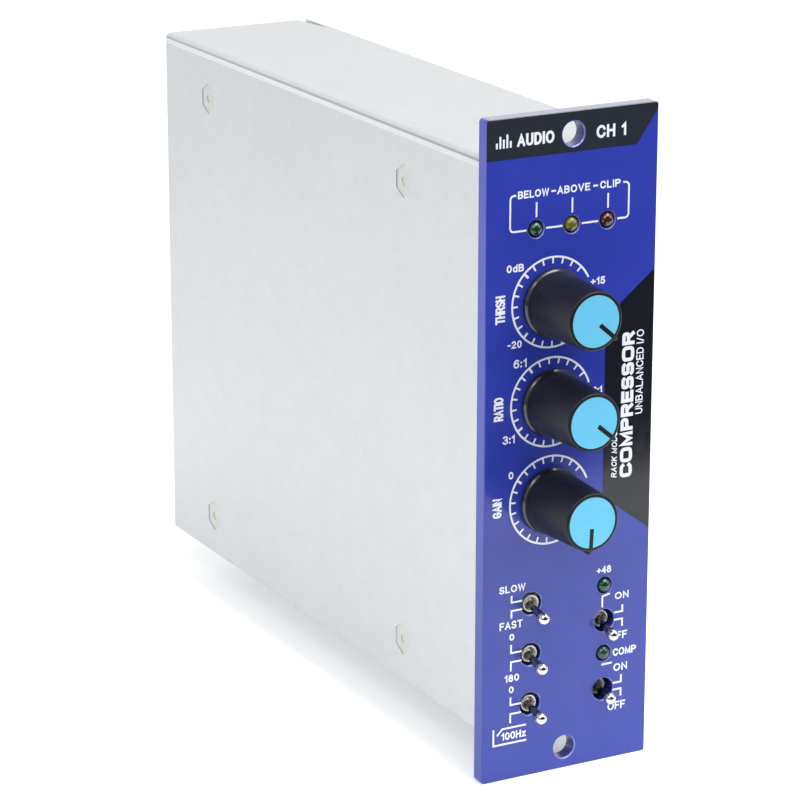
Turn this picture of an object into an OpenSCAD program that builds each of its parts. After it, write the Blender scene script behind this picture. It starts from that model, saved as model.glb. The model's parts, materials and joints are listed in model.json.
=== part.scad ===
// Plug-in compressor module for a modular audio rack.
// Front panel, folded steel case, two circuit boards, three rotary controls,
// five toggle switches and five indicator lamps.
// Millimetres. The front faces -Y, the left side is -X, +Z is up.
// The origin is the centre of the rack screw holes on the panel's rear face.

/* [Front panel] */
// Width of the front panel
panel_w = 37.8; // [37.4:0.1:38.2]
// Height of the front panel
panel_h = 133.35; // [132:0.05:134]
// Thickness of the front panel
panel_t = 3; // [2.6:0.1:3.2]
// Radius of the panel's four corners
panel_corner_r = 0.8; // [0.5:0.1:1.5]
// Bevel along the panel's front edges
panel_bevel = 0.15; // [0.1:0.05:0.6]
// Distance between the two rack screw holes
rack_pitch = 124.5; // [124:0.1:125]
// Radius of a rack screw hole
rack_hole_r = 2.35; // [2.2:0.05:2.5]

/* [Case] */
// Left outer face of the case
case_left = -18.6; // [-18.7:0.1:-18.2]
// Right outer face of the case
case_right = 17.5; // [17.3:0.1:18]
// Top outer face of the case
case_top = 58.9; // [58.5:0.1:59]
// Bottom outer face of the case
case_bottom = -56.65; // [-57:0.05:-56.5]
// Depth of the case behind the panel
case_depth = 141; // [139:0.5:143]
// Thickness of the folded tray's sheet
sheet_t = 1; // [0.8:0.1:1.1]
// Thickness of the right cover's sheet
cover_t = 0.8; // [0.6:0.1:1]
// Outer radius of the tray's bends
bend_r = 1.8; // [1.3:0.1:2.5]
// Height of the folded edges that carry the cover screws
flange_h = 7; // [6:0.5:8]

/* [Rotary controls] */
// Sideways position of the three control axes
pot_x = -4.2; // [-4.6:0.1:-3.8]
// Height of the threshold control's axis
threshold_z = 29.9; // [29.5:0.1:30.5]
// Height of the ratio control's axis
ratio_z = 10.05; // [9.8:0.05:10.4]
// Height of the gain control's axis
gain_z = -9.8; // [-10.2:0.1:-9.4]
// Where the threshold pointer stands, clockwise from the top
threshold_turn = 131; // [0:1:359]
// Where the ratio pointer stands, clockwise from the top
ratio_turn = 130; // [0:1:359]
// Where the gain pointer stands, clockwise from the top
gain_turn = 183; // [0:1:359]
// Height of a knob above the panel's front face
knob_h = 15.9; // [15:0.1:16.5]
// Radius of a knob's skirt
knob_skirt_r = 6.8; // [6.6:0.1:7.2]
// Radius of a knob's body just above the skirt
knob_base_r = 6.35; // [6.2:0.05:6.5]
// Radius of a knob's body at the top
knob_top_r = 5.75; // [5.6:0.05:5.9]
// Radius of the coloured disc in a knob's top
cap_r = 5.05; // [4.8:0.05:5.3]
// Radius of a control shaft
shaft_r = 3; // [2.9:0.05:3.05]

/* [Toggle switches] */
// Sideways position of the left row of switches
left_switch_x = -8; // [-8.4:0.1:-7.6]
// Sideways position of the right row of switches
right_switch_x = 8.85; // [8.6:0.05:9.1]
// Radius of a switch hole in the panel
switch_hole_r = 2.3; // [2.1:0.1:2.5]
// Outer radius of a switch bushing
bushing_r = 1.7; // [1.65:0.05:1.9]
// Distance from a lever's pivot to the centre of its tip
lever_len = 6.7; // [6:0.1:7.5]
// Radius of a lever's round tip
lever_tip_r = 1.25; // [1.1:0.05:1.35]
// Tilt of a lever to each side of the middle
lever_tilt = 13.5; // [12:0.5:14]
// How much further back the phantom switch sits than the attack switch
phantom_recess = 1.4; // [0:0.1:2.4]
// How much further back the bypass switch sits than the attack switch
bypass_recess = 2.2; // [0:0.1:2.4]

/* [Indicator lamps] */
// Height of the row of three level lamps
lamp_row_z = 44.65; // [44:0.05:45.5]
// Radius of a lamp
lamp_r = 1.5; // [1.45:0.05:1.55]
// How far a lamp's dome stands out of the panel
lamp_proud = 0.8; // [0.2:0.1:1.2]

/* [Circuit boards] */
// Thickness of both circuit boards
board_t = 1.6; // [1.5:0.1:1.7]
// Distance from the panel's rear face to the control board
control_board_y = 9; // [9:0.1:9.5]
// Clear height between the side sheet and the main board
standoff_h = 4.6; // [4:0.1:5]
// Rear end of the main board's contact tongue
tongue_end_y = 150.5; // [149:0.5:152]
// Distance between neighbouring edge contacts
contact_pitch = 3.96; // [3.9:0.01:4]

/* [Hidden] */
round_fn = 48;
eps = 0.01;
through = 0.5;

// Places on the panel, as [x, z]
threshold_at = [pot_x, threshold_z];
ratio_at = [pot_x, ratio_z];
gain_at = [pot_x, gain_z];
pots_at = [threshold_at, ratio_at, gain_at];

// Switches, as [x, z, how far back they sit, tilt of the lever at rest]
attack_at = [left_switch_x, -30.6, 0, lever_tilt];
polarity_at = [left_switch_x, -41.2, 0.4, lever_tilt];
filter_at = [left_switch_x, -51.6, 0.5, lever_tilt];
phantom_at = [right_switch_x, -37.1, phantom_recess, lever_tilt + 3.5];
bypass_at = [right_switch_x, -51.6, bypass_recess, lever_tilt - 4];
switches_at = [attack_at, polarity_at, filter_at, phantom_at, bypass_at];

// Lamps, as [x, z]
below_at = [-8, lamp_row_z];
above_at = [-0.1, lamp_row_z];
clip_at = [7.85, lamp_row_z];
phantom_lamp_at = [right_switch_x, -29.7];
active_lamp_at = [right_switch_x, -44];
lamps_at = [below_at, above_at, clip_at, phantom_lamp_at, active_lamp_at];

// Panel holes
rack_rim_r = rack_hole_r + 0.3;
lamp_hole_r = lamp_r + 0.15;
lamp_rim_r = lamp_hole_r + 0.3;
switch_rim_r = switch_hole_r + 0.3;
pot_hole_r = 3.55;
rim_depth = 0.3;

// Case
cover_x = case_right - cover_t;
inner_left = case_left + sheet_t;
inner_top = case_top - sheet_t;
inner_bottom = case_bottom + sheet_t;
inner_rear = case_depth - sheet_t;
flange_inset = 4;
front_flange_gap = 1.4;
front_flange_z = [inner_bottom + front_flange_gap, inner_top - front_flange_gap];
left_flange_x = -12;
right_flange_x = 11.5;
relief_w = 2.2;
relief_l = 12;
tongue_slot_x = [-14.6, -9.8];
tongue_slot_z = 33;
countersink_r = 2.3;
screw_r = 1.2;
recess_w = 2.6;
cover_screws_at = [[14, 54.4], [70, 54.4], [126, 54.4], [14, -52.15], [70, -52.15], [126, -52.15]];

// Panel studs, as [x, z]
stud_r = 1.25;
stud_press = 1.2;
stud_len = 6;
stud_nut_r = 2.88;
stud_nut_h = 2;
studs_at = [[-14.6, 52], [-14.6, -50.5], [14, 52], [14, -50.5]];

// Boards
main_board_x = inner_left + standoff_h;
part_x = main_board_x + board_t;
main_board_y0 = 13.5;
main_board_y1 = 137;
main_board_z0 = -52;
main_board_z1 = 54;
tongue_half_h = 31.2;
contact_w = 2.2;
contact_l = 9;
contact_t = 0.07;
contact_count = 15;
control_board_x0 = -16.5;
control_board_x1 = 15.2;
control_board_z0 = -55.2;
control_board_z1 = 57;
pin_y1 = control_board_y + board_t + 1.4;
connector_pins = 16;
pin_w = 0.64;
pin_tail = 3.5;
pin_pitch = 2.54;

// Standoffs, as [y, z]
standoff_hex_r = 3.4;
standoff_r = 2.8;
standoff_bore_r = 1.3;
standoff_head_t = 0.7;
standoff_dimple_r = 0.9;
standoff_dimple_d = 0.15;
standoff_recess = 0.15;
standoffs_at = [[30, 48.3], [118.3, 48.3], [30, -47], [118.3, -47]];

// Rotary controls
pot_body_w = 11;
pot_body_h = 12.4;
pot_body_y0 = 2;
collar_r = 4.8;
bushing_len = 3.2;
thread_r = 3.5;
shaft_gap = 0.05;
wiper_r = 4.4;
wiper_y = [3.3, 4.7];
wiper_gap = 0.3;
washer_r = 5;
washer_t = 0.6;
pot_nut_r = 5.2;
pot_nut_h = 2;
pot_pin_drop = 4;
knob_lift = 0.5;
knob_cavity_r = 5.75;
knob_cavity_h = 4.2;
knob_skirt_h = 2.6;
knob_rim = 0.5;
knob_bore_h = knob_h - 2.5;
cap_depth = 1.1;
pointer_w = 0.9;
pointer_start = 1.2;
pointer_fin_r = knob_base_r + 0.3;
pointer_fin_top_r = knob_top_r + 0.75;

// Toggle switches
switch_w = 5.1;
switch_h = 6.8;
switch_y0 = 0.6;
switch_cavity_w = 3.2;
switch_cavity_d = 5;
switch_cavity_h = 5.4;
bushing_flange_t = 0.5;
pivot_y = -1.2;
bore_r = 1.25;
bore_flare = 0.3;
bushing_y = -panel_t + 0.1;
ball_r = 1.2;
pin_r = 0.3;
pin_gap = 0.05;
lever_root_r = 0.62;
lever_end_r = 0.85;
lever_tail = 3.2;
lever_tail_r = 0.5;
terminal_r = 0.35;
hole_gap = 0.1;

// Lamps
lamp_back_y = 2;
lamp_flange_r = 1.9;
lamp_flange_t = 1;
spacer_r = 2.3;
lead_r = 0.25;
lead_pitch = 2.54;
green = [0.16, 0.42, 0.27];
amber = [0.75, 0.7, 0.15];
red = [0.5, 0.1, 0.1];

// Components on the main board
large_capacitor_y = [100, 115];
large_capacitor_z = [-37, -20];
large_capacitor_r = 6.3;
large_capacitor_h = 20;
small_capacitor_y = [28, 41, 54, 67];
small_capacitor_z = [37, -38];
small_capacitor_r = 4;
small_capacitor_h = 12;
film_y = [30, 42, 54, 66, 78];
film_z = [22, -20];
film_size = [6.5, 7.2, 3.5];
chip_x = [0.6, 4];
chip_w = 6.4;
amplifier_y = [33, 51, 69, 87];
amplifier_z = [6, -8];
gain_cell_at = [100, 28];
leg_w = 0.5;
leg_drop = 1.6;
leg_lift = 2.5;
regulator_y = 124;
regulator_z = [8, -6];
regulator_t = 4.5;
regulator_w = 10;
regulator_h = 11;
tab_t = 1.3;
tab_h = 17.5;
resistor_count = 12;
resistor_z = [29, -28];
resistor_y0 = 24;
resistor_pitch = 4.6;
resistor_l = 6;
resistor_r = 1.1;
resistor_lift = 1.5;
transistor_y = [82, 94, 106, 128];
transistor_z = 44;
transistor_r = 2.4;
transistor_h = 8;
transistor_flat = 1.3;

module y_cyl(at, y0, y1, r, fn = round_fn) {
    translate([at[0], y0, at[1]]) rotate([-90, 0, 0]) cylinder(h = y1 - y0, r = r, $fn = fn);
}

module y_cone(at, y0, y1, r0, r1) {
    translate([at[0], y0, at[1]]) rotate([-90, 0, 0]) cylinder(h = y1 - y0, r1 = r0, r2 = r1, $fn = round_fn);
}

module x_cyl(at, x0, x1, r, fn = round_fn) {
    translate([x0, at[0], at[1]]) rotate([0, 90, 0]) cylinder(h = x1 - x0, r = r, $fn = fn);
}

module x_cone(at, x0, x1, r0, r1) {
    translate([x0, at[0], at[1]]) rotate([0, 90, 0]) cylinder(h = x1 - x0, r1 = r0, r2 = r1, $fn = round_fn);
}

module span(x, y, z) {
    translate([x[0], y[0], z[0]]) cube([x[1] - x[0], y[1] - y[0], z[1] - z[0]]);
}

// A hole through the panel with a small countersunk rim at the front
module panel_hole(at, r, rim_r) {
    y_cyl(at, -panel_t - through, through, r);
    y_cone(at, -panel_t - eps, -panel_t + rim_depth, rim_r, r);
}

module panel_outline() {
    w = panel_w - 2 * panel_corner_r;
    h = panel_h - 2 * panel_corner_r;
    square([w, panel_h], center = true);
    square([panel_w, h], center = true);
    for (sx = [-1, 1], sz = [-1, 1]) {
        translate([sx * w / 2, sz * h / 2]) circle(r = panel_corner_r, $fn = round_fn);
    }
}

module panel_bevels() {
    side = panel_bevel * sqrt(2);
    for (s = [-1, 1]) {
        translate([s * panel_w / 2, -panel_t, 0]) rotate([0, 0, 45]) {
            cube([side, side, panel_h + 2], center = true);
        }
        translate([0, -panel_t, s * panel_h / 2]) rotate([45, 0, 0]) {
            cube([panel_w + 2, side, side], center = true);
        }
    }
}

module front_panel() color([0.13, 0.17, 0.6]) difference() {
    rotate([90, 0, 0]) linear_extrude(panel_t) panel_outline();
    panel_bevels();
    for (s = [-1, 1]) {
        panel_hole([0, s * rack_pitch / 2], rack_hole_r, rack_rim_r);
    }
    for (at = lamps_at) {
        panel_hole(at, lamp_hole_r, lamp_rim_r);
    }
    for (at = switches_at) {
        panel_hole(at, switch_hole_r, switch_rim_r);
    }
    for (at = pots_at) {
        y_cyl(at, -panel_t - through, through, pot_hole_r);
    }
    for (at = studs_at) {
        y_cyl(at, -stud_press, through, stud_r);
    }
}

// The space inside a folded tray: rounded along the two left edges and the rear left edge
module folded_block(x0, x1, y0, y1, z0, z1, r) {
    intersection() {
        translate([0, y1, 0]) rotate([90, 0, 0]) linear_extrude(y1 - y0) {
            translate([x0 + r, z0]) square([x1 - x0 - r, z1 - z0]);
            translate([x0, z0 + r]) square([r, z1 - z0 - 2 * r]);
            translate([x0 + r, z0 + r]) circle(r = r, $fn = round_fn);
            translate([x0 + r, z1 - r]) circle(r = r, $fn = round_fn);
        }
        translate([0, 0, z0]) linear_extrude(z1 - z0) {
            translate([x0 + r, y0]) square([x1 - x0 - r, y1 - y0]);
            translate([x0, y0]) square([r, y1 - y0 - r]);
            translate([x0 + r, y1 - r]) circle(r = r, $fn = round_fn);
        }
    }
}

module tray_shell() {
    difference() {
        folded_block(case_left, cover_x, 0, case_depth, case_bottom, case_top, bend_r);
        folded_block(inner_left, case_right, -1, inner_rear, inner_bottom, inner_top, bend_r - sheet_t);
    }
}

// Folded edges: the cover is screwed to three of them, the panel studs pass through the front one
module tray_flanges() {
    y0 = flange_inset;
    y1 = inner_rear;
    x = [cover_x - sheet_t, cover_x];
    span(x, [y0, y1], [inner_top - flange_h, inner_top]);
    span(x, [y0, y1], [inner_bottom, inner_bottom + flange_h]);
    span(x, [y1 - flange_h, y1], [inner_bottom + flange_h + 1, inner_top - flange_h - 1]);
    span([inner_left, left_flange_x], [0, sheet_t], front_flange_z);
}

module chassis_tray() color([0.83, 0.85, 0.86]) difference() {
    union() {
        tray_shell();
        tray_flanges();
    }
    for (at = standoffs_at) {
        x_cyl(at, case_left - through, inner_left + through, standoff_hex_r, 6);
    }
    for (at = cover_screws_at) {
        x_cyl(at, cover_x - sheet_t - through, cover_x + through, screw_r);
    }
    for (at = studs_at) {
        y_cyl(at, -through, sheet_t + through, stud_r + hole_gap);
    }
    span(tongue_slot_x, [inner_rear - through, case_depth + through], [-tongue_slot_z, tongue_slot_z]);
    translate([0, 0, inner_top - eps]) linear_extrude(sheet_t + 2 * eps) {
        polygon([
            [cover_x + eps, case_depth - relief_l],
            [cover_x + eps, case_depth + eps],
            [cover_x - relief_w, case_depth + eps]
        ]);
    }
}

module right_cover() color([0.82, 0.84, 0.85]) difference() {
    union() {
        span([cover_x, case_right], [0, case_depth], [case_bottom, case_top]);
        span([right_flange_x, cover_x], [0, sheet_t], front_flange_z);
    }
    for (at = cover_screws_at) {
        x_cone(at, cover_x - eps, case_right + eps, screw_r + hole_gap, countersink_r + hole_gap);
    }
    for (at = studs_at) {
        y_cyl(at, -through, sheet_t + through, stud_r + hole_gap);
    }
}

module cross_recess(size, depth) {
    arm = size / 5;
    translate([-size / 2, -arm / 2, -depth]) cube([size, arm, depth + 1]);
    translate([-arm / 2, -size / 2, -depth]) cube([arm, size, depth + 1]);
}

module cover_screws() color([0.75, 0.76, 0.78]) {
    for (at = cover_screws_at) {
        difference() {
            union() {
                x_cone(at, cover_x, case_right, screw_r, countersink_r);
                x_cyl(at, cover_x - 4, cover_x + eps, screw_r);
            }
            translate([case_right, at[0], at[1]]) rotate([0, 90, 0]) cross_recess(recess_w, 0.7);
        }
    }
}

module panel_studs() color([0.78, 0.79, 0.8]) {
    for (at = studs_at) {
        y_cyl(at, -stud_press, stud_len, stud_r);
    }
}

module panel_nuts() color([0.74, 0.75, 0.77]) {
    for (at = studs_at) {
        difference() {
            translate([at[0], sheet_t, at[1]]) rotate([-90, 30, 0]) {
                cylinder(h = stud_nut_h, r = stud_nut_r, $fn = 6);
            }
            y_cyl(at, 0, sheet_t + stud_nut_h + through, stud_r);
        }
    }
}

module board_standoffs() color([0.72, 0.73, 0.75]) {
    for (at = standoffs_at) {
        difference() {
            union() {
                x_cyl(at, case_left + standoff_recess, inner_left, standoff_hex_r, 6);
                x_cyl(at, inner_left - eps, main_board_x, standoff_r);
            }
            x_cyl(at, case_left + standoff_head_t, main_board_x + through, standoff_bore_r);
            x_cyl(at, case_left, case_left + standoff_recess + standoff_dimple_d, standoff_dimple_r);
        }
    }
}

module board_screws() color([0.76, 0.77, 0.79]) {
    head_r = 2.6;
    head_h = 1.8;
    for (at = standoffs_at) {
        difference() {
            union() {
                x_cyl(at, part_x, part_x + head_h, head_r);
                x_cyl(at, main_board_x - 3, part_x + eps, standoff_bore_r);
            }
            translate([part_x + head_h, at[0], at[1]]) rotate([0, 90, 0]) cross_recess(recess_w, 1);
        }
    }
}

module main_board() color([0.06, 0.3, 0.18]) difference() {
    union() {
        span([main_board_x, part_x], [main_board_y0, main_board_y1], [main_board_z0, main_board_z1]);
        span([main_board_x, part_x], [main_board_y1 - 1, tongue_end_y], [-tongue_half_h, tongue_half_h]);
    }
    for (at = standoffs_at) {
        x_cyl(at, main_board_x - through, part_x + through, standoff_bore_r + hole_gap);
    }
}

module edge_contacts() color([0.85, 0.68, 0.3]) {
    for (i = [0 : contact_count - 1]) {
        z = (i - (contact_count - 1) / 2) * contact_pitch;
        y = [tongue_end_y - 0.5 - contact_l, tongue_end_y - 0.5];
        span([part_x, part_x + contact_t], y, [z - contact_w / 2, z + contact_w / 2]);
        span([main_board_x - contact_t, main_board_x], y, [z - contact_w / 2, z + contact_w / 2]);
    }
}

module control_board() color([0.06, 0.3, 0.18]) difference() {
    y0 = control_board_y;
    y1 = control_board_y + board_t;
    span([control_board_x0, control_board_x1], [y0, y1], [control_board_z0, control_board_z1]);
    for (at = pots_at, dx = [-1, 0, 1]) {
        y_cyl([at[0] + dx * pin_pitch, at[1] - pot_pin_drop], y0 - 1, y1 + 1, terminal_r + hole_gap);
    }
    for (at = switches_at, dz = [-1, 0, 1]) {
        y_cyl([at[0], at[1] + dz * pin_pitch], y0 - 1, y1 + 1, terminal_r + hole_gap);
    }
    for (at = lamps_at, s = [-1, 1]) {
        y_cyl([at[0] + s * lead_pitch / 2, at[1]], y0 - 1, y1 + 1, lead_r + hole_gap);
    }
}

// Right-angle pin header between the two boards
module board_connector() color([0.12, 0.12, 0.13]) {
    y0 = control_board_y + board_t;
    y1 = y0 + pin_pitch;
    half_h = connector_pins * pin_pitch / 2;
    span([part_x, part_x + pin_pitch], [y0, y1], [-half_h, half_h]);
    for (i = [0 : connector_pins - 1]) {
        z = (i - (connector_pins - 1) / 2) * pin_pitch;
        span([part_x, part_x + pin_w], [y1 - eps, y1 + pin_tail], [z - pin_w / 2, z + pin_w / 2]);
    }
}

module pot(at) color([0.3, 0.31, 0.33]) difference() {
    union() {
        x = [at[0] - pot_body_w / 2, at[0] + pot_body_w / 2];
        span(x, [pot_body_y0, control_board_y], [at[1] - pot_body_h / 2, at[1] + pot_body_h / 2]);
        y_cyl(at, 0, pot_body_y0 + eps, collar_r);
        y_cyl(at, -panel_t - bushing_len, eps, thread_r);
    }
    y_cyl(at, -panel_t - bushing_len - through, wiper_y[1] + wiper_gap, shaft_r + shaft_gap);
    y_cyl(at, wiper_y[0] - wiper_gap, wiper_y[1] + wiper_gap, wiper_r + wiper_gap);
}

module shaft(at) color([0.8, 0.81, 0.83]) {
    y_cyl(at, -panel_t - knob_bore_h, wiper_y[1], shaft_r);
    y_cyl(at, wiper_y[0], wiper_y[1], wiper_r);
}

// Places a child whose own +Z points out of the panel and whose own +Y is the pointer
module on_shaft(at, turn) {
    translate([at[0], -panel_t, at[1]]) rotate([90, 0, 0]) rotate([0, 0, -turn]) children();
}

module knob_body() {
    rotate_extrude($fn = round_fn) polygon([
        [knob_cavity_r, knob_lift],
        [knob_skirt_r, knob_lift],
        [knob_skirt_r, knob_skirt_h],
        [knob_base_r, knob_skirt_h + knob_rim],
        [knob_top_r, knob_h - knob_rim],
        [knob_top_r - knob_rim, knob_h],
        [cap_r, knob_h],
        [cap_r, knob_h - cap_depth],
        [0, knob_h - cap_depth],
        [0, knob_bore_h],
        [shaft_r, knob_bore_h],
        [shaft_r, knob_cavity_h],
        [knob_cavity_r, knob_cavity_h]
    ]);
}

// Thin raised pointer that runs up the side of a knob
module knob_pointer() {
    rotate([90, 0, -90]) translate([0, 0, -pointer_w / 2]) linear_extrude(pointer_w) {
        polygon([
            [-knob_base_r + 1, knob_skirt_h],
            [-pointer_fin_r, knob_skirt_h],
            [-pointer_fin_top_r, knob_h - knob_rim],
            [-pointer_fin_top_r + knob_rim, knob_h],
            [-cap_r - 0.1, knob_h],
            [-cap_r - 0.1, knob_h - cap_depth]
        ]);
    }
}

module knob(at, turn) color([0.16, 0.17, 0.19]) on_shaft(at, turn) {
    knob_body();
    knob_pointer();
}

module cap(at, turn) color([0.43, 0.8, 0.95]) on_shaft(at, turn) difference() {
    translate([0, 0, knob_h - cap_depth]) cylinder(h = cap_depth, r = cap_r, $fn = round_fn);
    translate([-pointer_w / 2, pointer_start, knob_h - 0.5]) cube([pointer_w, cap_r, 1]);
}

module pot_washers() color([0.78, 0.79, 0.81]) {
    for (at = pots_at) {
        difference() {
            y_cyl(at, -panel_t - washer_t, -panel_t, washer_r);
            y_cyl(at, -panel_t - 1, -panel_t + 1, thread_r);
        }
    }
}

module pot_nuts() color([0.76, 0.77, 0.79]) {
    y0 = -panel_t - washer_t - pot_nut_h;
    for (at = pots_at) {
        difference() {
            y_cyl(at, y0, y0 + pot_nut_h, pot_nut_r, 6);
            y_cyl(at, y0 - 1, y0 + pot_nut_h + 1, thread_r);
        }
    }
}

module pot_terminals() color([0.8, 0.8, 0.8]) {
    for (at = pots_at, dx = [-1, 0, 1]) {
        y_cyl([at[0] + dx * pin_pitch, at[1] - pot_pin_drop], control_board_y, pin_y1, terminal_r);
    }
}

module switch(at) color([0.1, 0.2, 0.45]) difference() {
    front_y = switch_y0 + at[2];
    x = [at[0] - switch_w / 2, at[0] + switch_w / 2];
    span(x, [front_y, control_board_y], [at[1] - switch_h / 2, at[1] + switch_h / 2]);
    cavity_z = [at[1] - switch_cavity_h / 2, at[1] + switch_cavity_h / 2];
    cavity_x = [at[0] - switch_cavity_w / 2, at[0] + switch_cavity_w / 2];
    span(cavity_x, [front_y - eps, front_y + switch_cavity_d], cavity_z);
}

module bushing(at) color([0.82, 0.83, 0.84]) translate([0, at[2], 0]) difference() {
    flange_y = switch_y0 - bushing_flange_t;
    union() {
        x = [at[0] - switch_w / 2, at[0] + switch_w / 2];
        span(x, [flange_y, switch_y0], [at[1] - switch_h / 2, at[1] + switch_h / 2]);
        y_cyl(at, bushing_y, flange_y + eps, bushing_r);
    }
    y_cyl(at, bushing_y - 1, switch_y0 + 1, bore_r);
    y_cone(at, bushing_y - eps, bushing_y + bore_flare, bore_r + bore_flare, bore_r - eps);
    x_cyl([pivot_y, at[1]], at[0] - bushing_r - 1, at[0] + bushing_r + 1, pin_r + pin_gap);
}

// Lever at rest in its lower position, with its pivot pin
module lever(at) color([0.85, 0.86, 0.88]) translate([at[0], pivot_y + at[2], at[1]]) {
    rotate([at[3], 0, 0]) rotate([90, 0, 0]) {
        sphere(r = ball_r, $fn = round_fn);
        cylinder(h = lever_len, r1 = lever_root_r, r2 = lever_end_r, $fn = round_fn);
        translate([0, 0, lever_len]) sphere(r = lever_tip_r, $fn = round_fn);
        translate([0, 0, -lever_tail]) cylinder(h = lever_tail, r = lever_tail_r, $fn = round_fn);
    }
    x_cyl([0, 0], -bushing_r, bushing_r, pin_r);
}

module switch_terminals() color([0.8, 0.8, 0.8]) {
    for (at = switches_at, dz = [-1, 0, 1]) {
        y_cyl([at[0], at[1] + dz * pin_pitch], control_board_y, pin_y1, terminal_r);
    }
}

module lamp(at, tint) color(tint) {
    dome_y = -panel_t - lamp_proud + lamp_r;
    translate([at[0], dome_y, at[1]]) sphere(r = lamp_r, $fn = round_fn);
    y_cyl(at, dome_y, lamp_back_y, lamp_r);
    y_cyl(at, lamp_back_y, lamp_back_y + lamp_flange_t, lamp_flange_r);
}

module lamp_spacers() color([0.1, 0.1, 0.11]) {
    y0 = lamp_back_y + lamp_flange_t;
    for (at = lamps_at) {
        difference() {
            y_cyl(at, y0, control_board_y, spacer_r);
            for (s = [-1, 1]) {
                y_cyl([at[0] + s * lead_pitch / 2, at[1]], y0 - 1, control_board_y + 1, lead_r + hole_gap);
            }
        }
    }
}

module lamp_leads() color([0.8, 0.8, 0.82]) {
    for (at = lamps_at, s = [-1, 1]) {
        y_cyl([at[0] + s * lead_pitch / 2, at[1]], lamp_back_y + lamp_flange_t, pin_y1, lead_r);
    }
}

// A row of boxes or legs is placed by its middle, as [y, z], and stands on the main board's right face
module on_board(at, x, w, h) {
    span([part_x + x[0], part_x + x[1]], [at[0] - w / 2, at[0] + w / 2], [at[1] - h / 2, at[1] + h / 2]);
}

module electrolytic_capacitors() color([0.1, 0.12, 0.2]) {
    for (y = large_capacitor_y, z = large_capacitor_z) {
        x_cyl([y, z], part_x, part_x + large_capacitor_h, large_capacitor_r);
    }
    for (y = small_capacitor_y, z = small_capacitor_z) {
        x_cyl([y, z], part_x, part_x + small_capacitor_h, small_capacitor_r);
    }
}

module film_capacitors() color([0.7, 0.15, 0.12]) {
    for (y = film_y, z = film_z) {
        on_board([y, z], [0, film_size[0]], film_size[1], film_size[2]);
    }
}

// Dual in-line package with a row of legs along each side
module dip_chip(at, pins) {
    per_side = pins / 2;
    on_board(at, chip_x, per_side * pin_pitch, chip_w);
    for (i = [0 : per_side - 1], s = [-1, 1]) {
        leg_at = [at[0] + (i - (per_side - 1) / 2) * pin_pitch, at[1] + s * (chip_w + leg_w) / 2];
        on_board(leg_at, [0, chip_x[1] - leg_drop], leg_w, leg_w);
    }
}

module amplifier_chips() color([0.09, 0.09, 0.1]) {
    for (y = amplifier_y, z = amplifier_z) {
        dip_chip([y, z], 8);
    }
}

module gain_cell_chip() color([0.09, 0.09, 0.1]) {
    dip_chip(gain_cell_at, 16);
}

// Upright packages, each with a taller metal tab behind it and three legs
module voltage_regulators() color([0.14, 0.14, 0.15]) {
    for (z = regulator_z) {
        on_board([regulator_y, z], [leg_lift, regulator_h], regulator_t, regulator_w);
        on_board([regulator_y + (regulator_t + tab_t) / 2, z], [leg_lift, tab_h], tab_t, regulator_w);
        for (dz = [-1, 0, 1]) {
            on_board([regulator_y, z + dz * pin_pitch], [0, leg_lift + eps], leg_w, leg_w);
        }
    }
}

module resistors() color([0.35, 0.6, 0.75]) {
    for (i = [0 : resistor_count - 1], z = resistor_z) {
        y = resistor_y0 + i * resistor_pitch;
        translate([part_x + resistor_lift, y, z - resistor_l / 2]) {
            cylinder(h = resistor_l, r = resistor_r, $fn = 24);
        }
        for (s = [-1, 1]) {
            on_board([y, z + s * (resistor_l + leg_w) / 2], [0, resistor_lift + leg_w / 2], leg_w, leg_w);
        }
    }
}

// Small round packages with one flat side, on three legs
module transistors() color([0.09, 0.09, 0.1]) {
    for (y = transistor_y) {
        difference() {
            x_cyl([y, transistor_z], part_x + leg_lift, part_x + transistor_h, transistor_r);
            cut_at = [y + transistor_r + transistor_flat, transistor_z];
            on_board(cut_at, [0, transistor_h + 1], 2 * transistor_r, 3 * transistor_r);
        }
        for (dz = [-1, 0, 1]) {
            on_board([y, transistor_z + dz * pin_pitch / 2], [0, leg_lift + eps], leg_w, leg_w);
        }
    }
}

front_panel();
chassis_tray();
right_cover();
cover_screws();
panel_studs();
panel_nuts();
board_standoffs();
board_screws();
main_board();
edge_contacts();
control_board();
board_connector();
pot(threshold_at);  // threshold_pot
pot(ratio_at);  // ratio_pot
pot(gain_at);  // gain_pot
shaft(threshold_at);  // threshold_shaft
shaft(ratio_at);  // ratio_shaft
shaft(gain_at);  // gain_shaft
knob(threshold_at, threshold_turn);  // threshold_knob
knob(ratio_at, ratio_turn);  // ratio_knob
knob(gain_at, gain_turn);  // gain_knob
cap(threshold_at, threshold_turn);  // threshold_cap
cap(ratio_at, ratio_turn);  // ratio_cap
cap(gain_at, gain_turn);  // gain_cap
pot_washers();
pot_nuts();
pot_terminals();
switch(attack_at);  // attack_switch
switch(polarity_at);  // polarity_switch
switch(filter_at);  // filter_switch
switch(phantom_at);  // phantom_switch
switch(bypass_at);  // bypass_switch
bushing(attack_at);  // attack_bushing
bushing(polarity_at);  // polarity_bushing
bushing(filter_at);  // filter_bushing
bushing(phantom_at);  // phantom_bushing
bushing(bypass_at);  // bypass_bushing
lever(attack_at);  // attack_lever
lever(polarity_at);  // polarity_lever
lever(filter_at);  // filter_lever
lever(phantom_at);  // phantom_lever
lever(bypass_at);  // bypass_lever
switch_terminals();
lamp(below_at, green);  // below_lamp
lamp(above_at, amber);  // above_lamp
lamp(clip_at, red);  // clip_lamp
lamp(phantom_lamp_at, green);  // phantom_lamp
lamp(active_lamp_at, green);  // active_lamp
lamp_spacers();
lamp_leads();
electrolytic_capacitors();
film_capacitors();
amplifier_chips();
gain_cell_chip();
voltage_regulators();
resistors();
transistors();
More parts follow.
